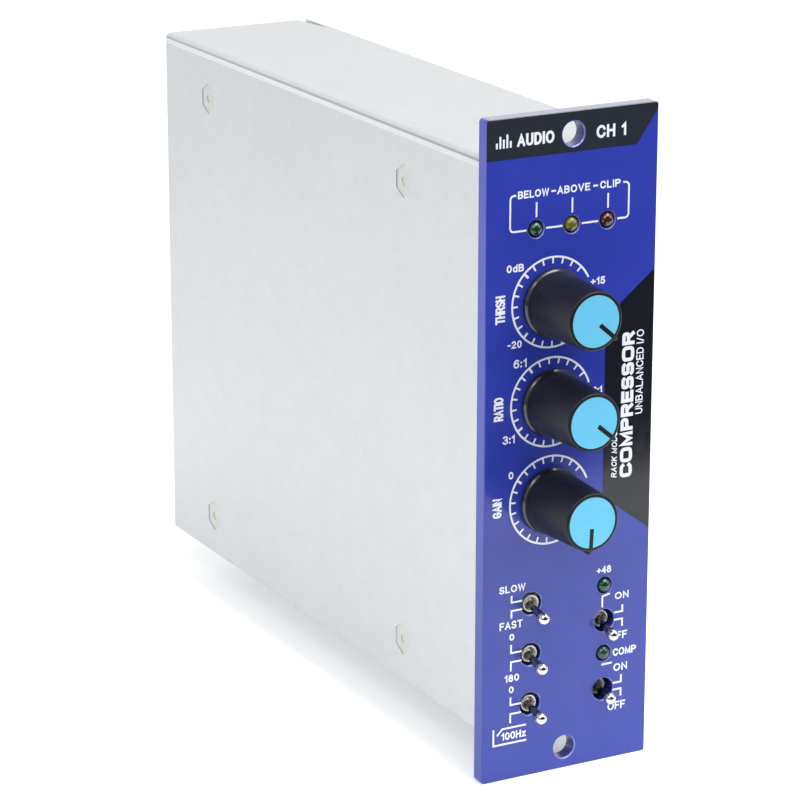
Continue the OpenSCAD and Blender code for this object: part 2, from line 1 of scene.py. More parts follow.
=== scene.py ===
"""The looks of a plug-in compressor module for an audio rack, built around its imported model.

Sizes are in millimetres and angles in degrees until they reach Blender, which works in metres.
The front faces -Y, +X is the right side seen from the front, and +Z is up.
"""

import json
import math

import bmesh
import bpy
from mathutils import Matrix, Vector


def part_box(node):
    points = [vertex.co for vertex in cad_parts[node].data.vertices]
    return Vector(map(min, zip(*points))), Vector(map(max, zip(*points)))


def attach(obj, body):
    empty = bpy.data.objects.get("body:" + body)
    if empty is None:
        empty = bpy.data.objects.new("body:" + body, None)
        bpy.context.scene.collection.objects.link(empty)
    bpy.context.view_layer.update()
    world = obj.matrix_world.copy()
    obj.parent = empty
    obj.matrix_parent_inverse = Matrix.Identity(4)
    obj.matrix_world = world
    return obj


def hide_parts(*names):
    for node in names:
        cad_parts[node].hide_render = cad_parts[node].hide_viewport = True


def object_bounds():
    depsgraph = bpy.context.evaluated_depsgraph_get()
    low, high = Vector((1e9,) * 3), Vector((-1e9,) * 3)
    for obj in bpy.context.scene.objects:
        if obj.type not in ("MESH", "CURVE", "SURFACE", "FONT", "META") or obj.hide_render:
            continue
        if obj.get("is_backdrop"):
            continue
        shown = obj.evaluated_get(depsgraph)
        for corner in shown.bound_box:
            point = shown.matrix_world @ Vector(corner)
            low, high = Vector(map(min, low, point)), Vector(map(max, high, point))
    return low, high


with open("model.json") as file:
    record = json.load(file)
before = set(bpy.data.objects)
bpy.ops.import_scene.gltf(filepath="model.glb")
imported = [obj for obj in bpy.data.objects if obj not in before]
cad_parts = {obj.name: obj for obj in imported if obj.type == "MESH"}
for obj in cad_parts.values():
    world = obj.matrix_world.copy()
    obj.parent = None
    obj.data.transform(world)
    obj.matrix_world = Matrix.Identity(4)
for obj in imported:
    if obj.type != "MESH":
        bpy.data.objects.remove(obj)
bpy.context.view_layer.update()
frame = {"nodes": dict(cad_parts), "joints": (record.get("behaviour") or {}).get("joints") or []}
nodes = frame["nodes"]
joints = {joint["name"]: joint for joint in frame["joints"]}

MM = 0.001
MODULE = "module"
CONTROLS = ("threshold", "ratio", "gain")
SWITCHES = ("attack", "polarity", "filter", "phantom", "bypass")
LEVEL_LAMPS = ("below", "above", "clip")
LAMPS = {"below": "green", "above": "amber", "clip": "red", "phantom": "green", "active": "green"}

# The camera stands in front of the panel, to its left and above it
CAMERA_AT = Vector((-334.88, -549.32, 203.48)) * MM
CAMERA_YAW = 28.58
CAMERA_PITCH = -16.843
CAMERA_ROLL = 0.08
LENS_MM = 156.0

# The table under the module ends a little way in front of it, and the panel's gloss shows that
TABLE_FRONT = 165
TABLE_HALF_WIDTH = 3000
TABLE_DEPTH = 4000
TABLE_GLOW = 0.22

# The light tent's brightness, as a ramp of each axis of the direction: start, end, low, high
TENT = [("Z", 0.0, 0.01, 0.01, 0.63), ("Y", -0.8, -0.5, 0.05, 1.0), ("Y", 0.0, 0.8, 1.0, 1.85)]
SOFTBOXES = [
    ("left_softbox", (-620, -620, 800), (500, 500), 4.0),
    ("top_softbox", (200, -300, 850), (800, 400), 7.5),
    ("right_softbox", (700, -500, 500), (400, 600), 2.6),
]
LIT_POINT = (0, 40, 0)

# Printed artwork
INK_T = 0.03
LINE_W = 0.36
SCALE_R = 8.9
SCALE_W = 0.39
TICK_L = 1.25
TICK_STEP = 15
BOLD_TICK = 1.35
SCALE_START = -225
STROKE_STEP = 0.003
HEADER_Z = 58.73
HEADER_CORNER_X = 14.1
HEADER_EDGE_Z = 65.5
STRIPE_X = 7.85
STRIPE_Z = (-11.05, 25.2)
STRIPE_EDGE_Z = (-19.35, 33.9)

# How the paint tells its parts apart: depths behind the front face, the border, and the z span over which
# the lower panel's painted reflection fades in
PRINT_DEPTH = 0.2
FACE_DEPTH = 0.02
EDGE_DEPTH = 0.1
RIM_DEPTH = 0.27
BORDER = 0.5
PAINTED_REFLECTION_Z = (8, -25)

# Knobs: heights are above the panel's front face
TURNS = {"threshold": 131, "ratio": 130, "gain": 183}
RIBS = 72
RIB_DEPTH = 0.05
STEPS_PER_RIB = 6
RIB_SPAN = (4.2, 15.15)
RIB_FADE = 0.25
SKIRT_H = 1.6

# Toggle levers
TIP_R = 1.25
BALL_R = 1.2
PIN_R = 0.3
PIN_HALF = 1.68
PIN_EDGE = 0.03

# The case's folded top left edge: its radius, then a painted dark reflection line along the fold and a
# painted lighter band under it that covers the fold's shading, as middle and half width below the top
BEND_R = 1.8
PAINTED_BEND_LINE = (0.7, 0.2)
PAINTED_BEND_LIGHT = (1.35, 0.45)

case_low, case_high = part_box("chassis_tray")
front_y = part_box("front_panel")[0].y / MM
panel_half_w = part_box("front_panel")[1].x / MM
panel_half_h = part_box("front_panel")[1].z / MM


# ---------------------------------------------------------------- materials

RANGE_SOCKETS = ("From Min", "From Max", "To Min", "To Max")
MOULD_CLOUDS = 6
MOULD_GRAIN = 0.25


def srgb(red, green, blue):
    """A colour given as 0 to 255 screen values, as linear light."""
    def linear(value):
        value /= 255
        return value / 12.92 if value <= 0.04045 else ((value + 0.055) / 1.055) ** 2.4
    return (linear(red), linear(green), linear(blue), 1.0)


class Surface:
    """A material under construction: its shader, and short ways to drive it with noise."""

    def __init__(self, name, colour, roughness, metallic=0.0, **sockets):
        self.material = bpy.data.materials.new(name)
        self.material.use_nodes = True
        self.tree = self.material.node_tree
        self.shader = self.tree.nodes["Principled BSDF"]
        self.shader.inputs["Base Color"].default_value = colour
        self.shader.inputs["Roughness"].default_value = roughness
        self.shader.inputs["Metallic"].default_value = metallic
        for socket, value in sockets.items():
            self.shader.inputs[socket.replace("_", " ")].default_value = value
        self.place = self.tree.nodes.new("ShaderNodeTexCoord").outputs["Object"]

    def link(self, output, socket):
        self.tree.links.new(output, socket)

    def add(self, kind, **values):
        node = self.tree.nodes.new(kind)
        for name, value in values.items():
            setattr(node, name, value)
        return node

    def math(self, operation, first, second):
        node = self.add("ShaderNodeMath", operation=operation)
        for socket, value in zip(node.inputs, (first, second)):
            if isinstance(value, (int, float)):
                socket.default_value = value
            else:
                self.link(value, socket)
        return node.outputs[0]

    def stretched(self, stretch):
        node = self.add("ShaderNodeVectorMath", operation="MULTIPLY")
        self.link(self.place, node.inputs[0])
        node.inputs[1].default_value = stretch
        return node.outputs[0]

    def noise(self, size_mm, detail=3.0, stretch=(1, 1, 1)):
        node = self.add("ShaderNodeTexNoise")
        node.inputs["Scale"].default_value = 1 / (size_mm * MM)
        node.inputs["Detail"].default_value = detail
        self.link(self.stretched(stretch), node.inputs["Vector"])
        return node.outputs["Fac"]

    def cells(self, size_mm, stretch=(1, 1, 1)):
        node = self.add("ShaderNodeTexVoronoi")
        node.inputs["Scale"].default_value = 1 / (size_mm * MM)
        self.link(self.stretched(stretch), node.inputs["Vector"])
        tone = self.add("ShaderNodeSeparateColor")
        self.link(node.outputs["Color"], tone.inputs[0])
        return tone.outputs[0]

    def blend(self, factor, first, second):
        node = self.add("ShaderNodeMix", data_type="RGBA")
        self.link(factor, node.inputs[0])
        for socket, value in zip((node.inputs[6], node.inputs[7]), (first, second)):
            if isinstance(value, tuple):
                socket.default_value = value
            else:
                self.link(value, socket)
        return node.outputs[2]

    def tint(self, factor, first, second):
        self.link(self.blend(factor, first, second), self.shader.inputs["Base Color"])

    def ramp(self, factor, start, end, low=0.0, high=1.0):
        """low at start, high at end, and level beyond both."""
        node = self.add("ShaderNodeMapRange")
        self.link(factor, node.inputs["Value"])
        for socket, value in zip(RANGE_SOCKETS, (start, end, low, high)):
            node.inputs[socket].default_value = value
        return node.outputs[0]

    def spread(self, factor, low, high, socket="Roughness", start=0.35, end=0.65):
        self.link(self.ramp(factor, start, end, low, high), self.shader.inputs[socket])

    def axes_mm(self):
        """The object's own x, y and z in millimetres."""
        node = self.add("ShaderNodeSeparateXYZ")
        self.link(self.stretched((1 / MM,) * 3), node.inputs[0])
        return node.outputs

    def near(self, value, middle, reach):
        """1 where a value is within reach of middle."""
        factor = self.math("COMPARE", value, middle)
        factor.node.inputs[2].default_value = reach
        return factor

    def flipped(self, factor):
        return self.math("SUBTRACT", 1.0, factor)

    def all_of(self, *factors):
        total = factors[0]
        for factor in factors[1:]:
            total = self.math("MULTIPLY", total, factor)
        return total

    def bump(self, factor, depth_mm, strength):
        node = self.add("ShaderNodeBump")
        node.inputs["Strength"].default_value = strength
        node.inputs["Distance"].default_value = depth_mm * MM
        self.link(factor, node.inputs["Height"])
        self.link(node.outputs[0], self.shader.inputs["Normal"])


def panel_paint():
    """Glossy blue enamel, with the black header and stripe printed on its front face, and light and shade
    painted in: painted shade on the hole walls, a painted highlight on the hole rims, a painted
    reflection on the top face and a greyer painted reflection over the lower half.
    """
    paint = Surface("panel_paint", srgb(50, 62, 172), 0.12, Specular_IOR_Level=0.45, Coat_Weight=0.05)
    x, y, z = paint.axes_mm()

    def below_line(start, end):
        """1 where z is under the straight line through two [x, z] points."""
        slope = (end[1] - start[1]) / (end[0] - start[0])
        line = paint.math("MULTIPLY_ADD", x, slope)
        line.node.inputs[2].default_value = start[1] - slope * start[0]
        return paint.math("LESS_THAN", z, line)

    def within(value, half):
        return paint.math("LESS_THAN", paint.math("ABSOLUTE", value, 0.0), half)

    above_diagonal = paint.flipped(
        below_line((HEADER_CORNER_X, HEADER_Z), (panel_half_w, HEADER_EDGE_Z)))
    left_of_corner = paint.math("LESS_THAN", x, HEADER_CORNER_X)
    over_header = paint.math("GREATER_THAN", z, HEADER_Z)
    header = paint.all_of(over_header, paint.math("MAXIMUM", above_diagonal, left_of_corner))
    stripe = paint.all_of(
        paint.math("GREATER_THAN", x, STRIPE_X),
        below_line((STRIPE_X, STRIPE_Z[1]), (panel_half_w, STRIPE_EDGE_Z[1])),
        paint.flipped(below_line((STRIPE_X, STRIPE_Z[0]), (panel_half_w, STRIPE_EDGE_Z[0]))))
    on_front = paint.math("LESS_THAN", y, front_y + PRINT_DEPTH)
    black = paint.blend(header, srgb(27, 31, 38), srgb(43, 48, 57))
    printed = paint.all_of(paint.math("MAXIMUM", header, stripe), on_front)

    mottle = paint.noise(9, 2)
    blue = paint.blend(mottle, srgb(46, 60, 167), srgb(55, 69, 177))
    # Painted reflection: lower on the panel the blue is painted slightly greyer and less blue, standing
    # in for the table's reflection.
    painted_reflection_blue = paint.blend(mottle, srgb(45, 60, 153), srgb(54, 69, 163))
    blue = paint.blend(paint.ramp(z, *PAINTED_REFLECTION_Z), blue, painted_reflection_blue)
    inside = paint.all_of(within(x, panel_half_w - BORDER), within(z, panel_half_h - BORDER))
    painted_shade_bores = paint.all_of(paint.math("GREATER_THAN", y, front_y + RIM_DEPTH), inside)
    behind_face = paint.math("GREATER_THAN", y, front_y + FACE_DEPTH)
    painted_highlight_rims = paint.all_of(behind_face, inside, paint.flipped(painted_shade_bores))
    painted_reflection_top = paint.math("GREATER_THAN", z, panel_half_h - EDGE_DEPTH)
    # Painted shade: the walls of the holes, behind their rims, are painted a darker blue.
    sides = paint.blend(painted_shade_bores, blue, srgb(34, 38, 116))
    # Painted reflection: the panel's top face is painted a greyer, lighter lilac.
    sides = paint.blend(painted_reflection_top, sides, srgb(116, 118, 146))
    print_over_painted_light = paint.blend(printed, sides, black)
    # Painted highlight: the chamfered rims of the holes are painted a light lilac over the print and the
    # painted shade and reflection.
    paint.tint(painted_highlight_rims, print_over_painted_light, srgb(118, 126, 205))
    paint.spread(paint.noise(2.5, 2), 0.1, 0.16)
    paint.bump(paint.noise(1.4, 1), 0.004, 0.35)
    return paint.material


def white_ink():
    ink = Surface("white_ink", srgb(242, 246, 255), 0.35)
    grain = ink.noise(0.6, 2)
    ink.tint(grain, srgb(236, 241, 252), srgb(246, 249, 255))
    ink.spread(grain, 0.34, 0.46)
    return ink.material


def galvanised_sheet():
    """Zinc-coated sheet: faint crystals, a rolled grain along Y, a painted dark reflection line along the
    top left bend and a painted lighter band under it.
    """
    sheet = Surface("galvanised_sheet", srgb(222, 225, 227), 0.42, 0.75)
    crystals = sheet.cells(1.9, (1, 0.7, 1))
    fine = sheet.noise(4.5, 5, (1, 0.6, 1))
    clouds = sheet.noise(26, 3, (1, 0.6, 1))
    mixed = sheet.math("ADD", sheet.math("MULTIPLY", crystals, 0.12), sheet.math("MULTIPLY", fine, 0.44))
    mixed = sheet.math("ADD", mixed, sheet.math("MULTIPLY", clouds, 0.44))
    x, _, z = sheet.axes_mm()
    top = case_high.z / MM
    at_left = sheet.math("LESS_THAN", x, case_low.x / MM + BEND_R)
    painted_dark_bend_line = sheet.all_of(sheet.near(z, top - PAINTED_BEND_LINE[0], PAINTED_BEND_LINE[1]), at_left)
    painted_light_under_bend = sheet.all_of(sheet.near(z, top - PAINTED_BEND_LIGHT[0], PAINTED_BEND_LIGHT[1]), at_left)
    zinc_tone = sheet.blend(mixed, srgb(188, 191, 193), srgb(211, 214, 216))
    # Painted light: a lighter band just under the fold, painted over the fold's own shading.
    zinc_tone = sheet.blend(painted_light_under_bend, zinc_tone, srgb(228, 230, 232))
    # Painted reflection: a dark line along the fold, standing in for the dark surroundings it mirrors.
    sheet.tint(painted_dark_bend_line, zinc_tone, srgb(168, 172, 182))
    sheet.spread(mixed, 0.38, 0.48, start=0.3, end=0.7)
    rolling = sheet.noise(0.35, 3, (1, 0.04, 1))
    sheet.bump(sheet.math("ADD", rolling, sheet.math("MULTIPLY", crystals, 0.25)), 0.004, 0.25)
    return sheet.material


def plated(name, dark, light, roughness, grain_mm=0.8, metallic=1.0):
    """Polished or plated metal with a slight change of tone and gloss."""
    metal = Surface(name, light, roughness, metallic)
    grain = metal.noise(grain_mm, 3)
    metal.tint(grain, dark, light)
    metal.spread(grain, roughness * 0.8, roughness * 1.3)
    return metal.material


def moulded(name, dark, light, roughness, depth_mm=0.01):
    """Moulded plastic with a fine texture."""
    plastic = Surface(name, light, roughness)
    plastic.tint(plastic.noise(MOULD_CLOUDS, 3), dark, light)
    grain = plastic.noise(MOULD_GRAIN, 2)
    plastic.spread(grain, roughness * 0.88, roughness * 1.12)
    plastic.bump(grain, depth_mm, 0.4)
    return plastic.material


def knob_plastic():
    """Black plastic: satin on the ribbed body, polished on the skirt close to the panel."""
    plastic = Surface("knob_black", srgb(20, 21, 26), 0.36, Specular_IOR_Level=0.33)
    plastic.tint(plastic.noise(MOULD_CLOUDS, 3), srgb(17, 18, 22), srgb(24, 25, 30))
    on_body = plastic.math("LESS_THAN", plastic.axes_mm()[1], front_y - SKIRT_H)
    grain = plastic.noise(MOULD_GRAIN, 2)
    satin = plastic.math("ADD", on_body, plastic.math("MULTIPLY", grain, 0.2))
    plastic.spread(satin, 0.16, 0.38, start=0.0, end=1.1)
    plastic.spread(on_body, 0.9, 0.33, "Specular IOR Level", start=0.0, end=1.0)
    plastic.bump(plastic.math("MULTIPLY", grain, on_body), 0.008, 0.4)
    return plastic.material


def board_laminate():
    """Green solder resist with faint copper tracks beneath it."""
    board = Surface("board_laminate", srgb(16, 84, 50), 0.3, Coat_Weight=0.3)
    tracks = board.add("ShaderNodeTexBrick", offset=0.37, squash=0.6, squash_frequency=3)
    board.link(board.stretched((1, 1, 1)), tracks.inputs["Vector"])
    tracks.inputs["Scale"].default_value = 90
    tracks.inputs["Mortar Size"].default_value = 0.035
    board.tint(tracks.outputs["Fac"], srgb(14, 78, 46), srgb(30, 112, 66))
    board.spread(board.noise(3, 2), 0.25, 0.36)
    board.bump(tracks.outputs["Fac"], 0.02, 0.5)
    return board.material


def lens(name, dark, light):
    """Tinted clear epoxy, unlit, with a cloudy core and painted shade that darkens it towards its edge.
    """
    epoxy = Surface(name, light, 0.05, Transmission_Weight=0.45, IOR=1.53, Coat_Weight=0.5)
    facing = epoxy.add("ShaderNodeLayerWeight")
    facing.inputs["Blend"].default_value = 0.45
    # Painted shade: the lens is painted darker where it turns away from view, at its edge.
    rim = epoxy.math("ADD", facing.outputs["Facing"], epoxy.math("MULTIPLY", epoxy.noise(1.1, 1), 0.25))
    epoxy.tint(rim, light, dark)
    epoxy.spread(epoxy.noise(0.7, 1), 0.1, 0.17)
    return epoxy.material


paint = panel_paint()
ink = white_ink()
sheet_metal = galvanised_sheet()
pressed_steel = plated("pressed_steel", srgb(188, 190, 186), srgb(208, 210, 206), 0.42, 1.1, 0.75)
zinc = plated("bright_zinc", srgb(186, 189, 192), srgb(214, 216, 219), 0.3)
bushing_nickel = plated("bushing_nickel", srgb(222, 220, 210), srgb(238, 236, 226), 0.3, 0.55, 0.6)
lever_nickel = plated("lever_nickel", srgb(206, 204, 202), srgb(222, 220, 218), 0.1)
# Painted shade: a darker copy of the lever's nickel, used on the lever's shaft.
painted_shade_shaft_nickel = plated("painted_shade_shaft_nickel", srgb(96, 98, 106), srgb(120, 122, 130), 0.24)
gold = plated("gold_flash", srgb(212, 172, 92), srgb(236, 200, 120), 0.2)
tin = plated("tinned_metal", srgb(196, 197, 200), srgb(218, 219, 222), 0.28)
turned_aluminium = plated("turned_aluminium", srgb(205, 207, 210), srgb(226, 227, 230), 0.25)
knob_black = knob_plastic()
cap_blue = moulded("cap_blue", srgb(96, 191, 230), srgb(106, 199, 237), 0.42, depth_mm=0.004)
black_moulding = moulded("black_moulding", srgb(24, 25, 28), srgb(34, 35, 38), 0.5)
pot_moulding = moulded("pot_moulding", srgb(70, 74, 82), srgb(88, 92, 98), 0.45)
switch_moulding = moulded("switch_moulding", srgb(34, 62, 130), srgb(44, 76, 150), 0.35)
sleeve = moulded("capacitor_sleeve", srgb(28, 32, 54), srgb(38, 44, 70), 0.25)
film_coat = moulded("film_capacitor_coat", srgb(168, 48, 40), srgb(190, 58, 48), 0.25)
lacquer = moulded("resistor_lacquer", srgb(120, 170, 200), srgb(140, 186, 214), 0.4)
laminate = board_laminate()
lenses = {
    "green": lens("green_lens", srgb(5, 22, 28), srgb(27, 94, 68)),
    "amber": lens("amber_lens", srgb(38, 38, 8), srgb(158, 150, 34)),
    "red": lens("red_lens", srgb(28, 6, 12), srgb(112, 30, 36)),
}


# ---------------------------------------------------------------- carried-over pieces

def dress(node, material):
    mesh = nodes[node].data
    mesh.materials.clear()
    mesh.materials.append(material)


def soften(node, width):
    """Breaks a machined or folded piece's sharp edges, so that they catch the light."""
    weld = nodes[node].modifiers.new("weld", "WELD")
    weld.merge_threshold = 1e-6
    bevel = nodes[node].modifiers.new("bevel", "BEVEL")
    bevel.width = width * MM
    bevel.segments = 2
    bevel.limit_method = "ANGLE"
    bevel.angle_limit = math.radians(38)


def dress_all():
    looks = {
        "front_panel": paint,
        "edge_contacts": gold,
        "electrolytic_capacitors": sleeve,
        "film_capacitors": film_coat,
        "resistors": lacquer,
        "board_standoffs": pressed_steel,
    }
    shared = (
        (sheet_metal, ("chassis_tray", "right_cover")),
        (laminate, ("main_board", "control_board")),
        (tin, ("pot_terminals", "switch_terminals", "lamp_leads")),
        (zinc, ("cover_screws", "panel_studs", "panel_nuts", "board_screws", "pot_washers", "pot_nuts")),
        (black_moulding, ("board_connector", "lamp_spacers", "amplifier_chips", "gain_cell_chip",
                          "voltage_regulators", "transistors")),
    )
    for material, names in shared:
        looks.update(dict.fromkeys(names, material))
    for control in CONTROLS:
        looks[control + "_pot"] = pot_moulding
        looks[control + "_shaft"] = turned_aluminium
        looks[control + "_knob"] = knob_black
        looks[control + "_cap"] = cap_blue
    for switch in SWITCHES:
        looks[switch + "_switch"] = switch_moulding
        looks[switch + "_bushing"] = bushing_nickel
        looks[switch + "_lever"] = lever_nickel
    for lamp, colour in LAMPS.items():
        looks[lamp + "_lamp"] = lenses[colour]
    for node, material in looks.items():
        dress(node, material)


def soften_all():
    for width, names in (
            (0.06, ("cover_screws",)),
            (0.1, ("front_panel", "main_board", *(switch + "_bushing" for switch in SWITCHES))),
            (0.12, ("chassis_tray", "right_cover", "board_standoffs")),
            (0.14, [control + "_cap" for control in CONTROLS])):
        for name in names:
            soften(name, width)


# ---------------------------------------------------------------- mesh helpers

def finish_mesh(bm, name, material, body, crease=35, replaced=()):
    """Turns a bmesh, in metres in the model's frame, into a piece that rides on a body."""
    bmesh.ops.recalc_face_normals(bm, faces=bm.faces)
    mesh = bpy.data.meshes.new(name)
    bm.to_mesh(mesh)
    bm.free()
    mesh.materials.append(material)
    for polygon in mesh.polygons:
        polygon.use_smooth = True
    mesh.set_sharp_from_angle(angle=math.radians(crease))
    piece = bpy.data.objects.new(name, mesh)
    bpy.context.scene.collection.objects.link(piece)
    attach(piece, body)
    if replaced:
        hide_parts(*replaced)
    return piece


def on_panel(x, z, lift=0.0):
    """A point on the panel's front face, or lift millimetres in front of it, in metres."""
    return Vector((x, front_y - lift, z)) * MM


def ribbon(bm, points, width, closed=False, lift=0.0):
    """A printed line along [x, z] points, with mitred corners, lift millimetres thicker than the rest."""
    flat = [Vector(point) for point in points]
    count = len(flat)
    sides = []
    for index, point in enumerate(flat):
        along = []
        if closed or index:
            along.append((point - flat[index - 1]).normalized())
        if closed or index < count - 1:
            along.append((flat[(index + 1) % count] - point).normalized())
        middle = sum(along, Vector((0, 0))).normalized()
        normal = Vector((-middle.y, middle.x))
        reach = width / 2 / max(0.5, normal.dot(Vector((-along[0].y, along[0].x))))
        sides.append((point + normal * reach, point - normal * reach))
    rings = [
        [bm.verts.new(on_panel(side.x, side.y, height)) for side in pair for height in (0, INK_T + lift)]
        for pair in sides
    ]
    for index in range(count if closed else count - 1):
        a, b = rings[index], rings[(index + 1) % count]
        for i, j in ((0, 1), (1, 3), (3, 2), (2, 0)):
            bm.faces.new((a[i], a[j], b[j], b[i]))
    if not closed:
        for ring in (rings[0], rings[-1]):
            bm.faces.new((ring[0], ring[1], ring[3], ring[2]))


def arc(centre, radius, start, end, steps=24):
    """[x, z] points along an arc; angles run clockwise from the top."""
    points = []
    for index in range(steps + 1):
        angle = math.radians(start + (end - start) * index / steps)
        points.append((centre[0] + radius * math.sin(angle), centre[1] + radius * math.cos(angle)))
    return points


def glyph_set(power):
    """Strokes of plain capitals and figures, one unit high. A power below 1 squares their curves."""
    def bow(x, y, rx, ry, start, end):
        """Points along part of an ellipse; angles run clockwise from the top."""
        steps = max(4, round(abs(end - start) / 15))
        turns = [math.radians(start + (end - start) * step / steps) for step in range(steps + 1)]
        return [(x + rx * squared(math.sin(turn)), y + ry * squared(math.cos(turn))) for turn in turns]

    def squared(value):
        return math.copysign(abs(value) ** power, value) if abs(value) > 1e-6 else 0.0

    upright = [(0, 0), (0, 1)]
    p_bowl = [(0, 1)] + bow(0.33, 0.74, 0.25, 0.26, 0, 180) + [(0, 0.48)]
    return {
        "A": [[(0, 0), (0.33, 1), (0.66, 0)], [(0.2, 0.32), (0.46, 0.32)]],
        "B": [upright, [(0, 0.52)] + bow(0.3, 0.26, 0.28, 0.26, 0, 180) + [(0, 0)],
              [(0, 1)] + bow(0.3, 0.76, 0.24, 0.24, 0, 180) + [(0, 0.52)]],
        "C": [bow(0.34, 0.5, 0.34, 0.5, 60, -240)],
        "D": [upright, [(0, 1)] + bow(0.25, 0.5, 0.36, 0.5, 0, 180) + [(0, 0)]],
        "E": [[(0.52, 1), (0, 1), (0, 0), (0.54, 0)], [(0, 0.52), (0.46, 0.52)]],
        "F": [[(0.5, 1), (0, 1), (0, 0)], [(0, 0.5), (0.42, 0.5)]],
        "G": [bow(0.34, 0.5, 0.34, 0.5, 55, -265) + [(0.38, 0.46)]],
        "H": [upright, [(0.58, 0), (0.58, 1)], [(0, 0.52), (0.58, 0.52)]],
        "I": [upright],
        "K": [upright, [(0.56, 1), (0.05, 0.4)], [(0.2, 0.6), (0.58, 0)]],
        "L": [[(0, 1), (0, 0), (0.48, 0)]],
        "M": [[(0, 0), (0, 1), (0.35, 0.1), (0.7, 1), (0.7, 0)]],
        "N": [[(0, 0), (0, 1), (0.58, 0), (0.58, 1)]],
        "O": [bow(0.37, 0.5, 0.37, 0.5, 0, 360)],
        "P": [upright, p_bowl],
        "R": [upright, p_bowl, [(0.34, 0.48), (0.6, 0)]],
        "S": [bow(0.29, 0.74, 0.27, 0.26, 65, -170) + bow(0.29, 0.25, 0.29, 0.25, 10, 245)],
        "T": [[(0.3, 0), (0.3, 1)], [(0, 1), (0.6, 1)]],
        "U": [[(0, 1)] + bow(0.29, 0.3, 0.29, 0.3, -90, -270) + [(0.58, 1)]],
        "V": [[(0, 1), (0.33, 0), (0.66, 1)]],
        "W": [[(0, 1), (0.23, 0), (0.46, 1), (0.69, 0), (0.92, 1)]],
        "d": [bow(0.24, 0.34, 0.24, 0.34, 0, 360), [(0.48, 0), (0.48, 1)]],
        "z": [[(0.02, 0.68), (0.44, 0.68), (0, 0), (0.46, 0)]],
        "0": [bow(0.27, 0.5, 0.27, 0.5, 0, 360)],
        "1": [[(0.02, 0.76), (0.24, 1), (0.24, 0)]],
        "2": [bow(0.27, 0.73, 0.25, 0.27, -75, 120) + [(0, 0), (0.54, 0)]],
        "3": [bow(0.26, 0.76, 0.22, 0.24, -65, 180), bow(0.26, 0.26, 0.26, 0.26, 0, 250)],
        "4": [[(0.4, 0), (0.4, 1)], [(0.4, 1), (0, 0.3), (0.54, 0.3)]],
        "5": [[(0.48, 1), (0.1, 1), (0.04, 0.5)] + bow(0.26, 0.32, 0.26, 0.32, -40, 240)],
        "6": [bow(0.27, 0.31, 0.25, 0.31, 0, 360), bow(0.31, 0.42, 0.29, 0.58, 40, -90)],
        "8": [bow(0.27, 0.76, 0.22, 0.24, 0, 360), bow(0.27, 0.27, 0.27, 0.27, 0, 360)],
        "+": [[(0.06, 0.46), (0.6, 0.46)], [(0.33, 0.2), (0.33, 0.72)]],
        "-": [[(0.04, 0.46), (0.34, 0.46)]],
        ":": [[(0, 0.04), (0, 0.1)], [(0, 0.6), (0, 0.66)]],
        "/": [[(0, 0), (0.34, 1)]],
        " ": [[(0, 0)], [(0.12, 0)]],
    }


ROUND = glyph_set(1.0)
SQUARE = glyph_set(0.5)


def square_ends(points, reach):
    """The same line with both of its ends drawn out by reach."""
    first, second, before, last = (Vector(points[index]) for index in (0, 1, -2, -1))
    start = first + (first - second).normalized() * reach
    end = last + (last - before).normalized() * reach
    return [start, *points[1:-1], end]


def lettering(bm, text, x_range, z_range, weight=0.3, glyphs=ROUND, gap=0.09, turned=False, slant=0.0):
    """Plain lettering that fills a rectangle on the panel. Turned lettering reads upwards."""
    tall = (x_range[1] - x_range[0] if turned else z_range[1] - z_range[0]) - weight
    long = (z_range[1] - z_range[0] if turned else x_range[1] - x_range[0]) - weight
    gap += weight / tall
    widths = [max(point[0] for stroke in glyphs[letter] for point in stroke) for letter in text]
    stretch = long / (sum(widths) + gap * (len(text) - 1) + slant)
    start = 0
    for letter, width in zip(text, widths):
        for index, stroke in enumerate(glyphs[letter]):
            if len(stroke) < 2:
                continue
            edge = weight / 2
            points = [((start + x + slant * y) * stretch + edge, y * tall + edge) for x, y in stroke]
            closed = math.dist(stroke[0], stroke[-1]) < 1e-6
            points = points[:-1] if closed else square_ends(points, edge)
            if turned:
                points = [(x_range[1] - up, z_range[0] + along) for along, up in points]
            else:
                points = [(x_range[0] + along, z_range[0] + up) for along, up in points]
            ribbon(bm, points, weight, closed, STROKE_STEP * index)
        start += width + gap


def print_piece(bm, name):
    bmesh.ops.remove_doubles(bm, verts=bm.verts, dist=1e-7)
    return finish_mesh(bm, name, ink, MODULE, crease=30)


# ---------------------------------------------------------------- printed artwork

def control_scale(control, tick_start, arc_end, bold_ticks):
    """An arc with inward ticks every 15 degrees, open towards the lower right."""
    bm = bmesh.new()
    centre = control_axis(control)
    ribbon(bm, arc(centre, SCALE_R, SCALE_START, arc_end, 90), SCALE_W)
    last_tick = arc_end - 10
    angle = tick_start
    while angle < last_tick:
        width = LINE_W * (BOLD_TICK if angle in bold_ticks else 1)
        inner, outer = (arc(centre, r, angle, angle, 1)[0] for r in (SCALE_R - TICK_L, SCALE_R))
        ribbon(bm, [inner, outer], width, lift=STROKE_STEP)
        angle += TICK_STEP
    print_piece(bm, control + "_scale")


def control_axis(control):
    place = joints[control + "_turn"]["pos_m"]
    return (place[0] / MM, place[2] / MM)


def lamp_axis(lamp):
    low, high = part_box(lamp + "_lamp")
    return ((low.x + high.x) / 2 / MM, (low.z + high.z) / 2 / MM)


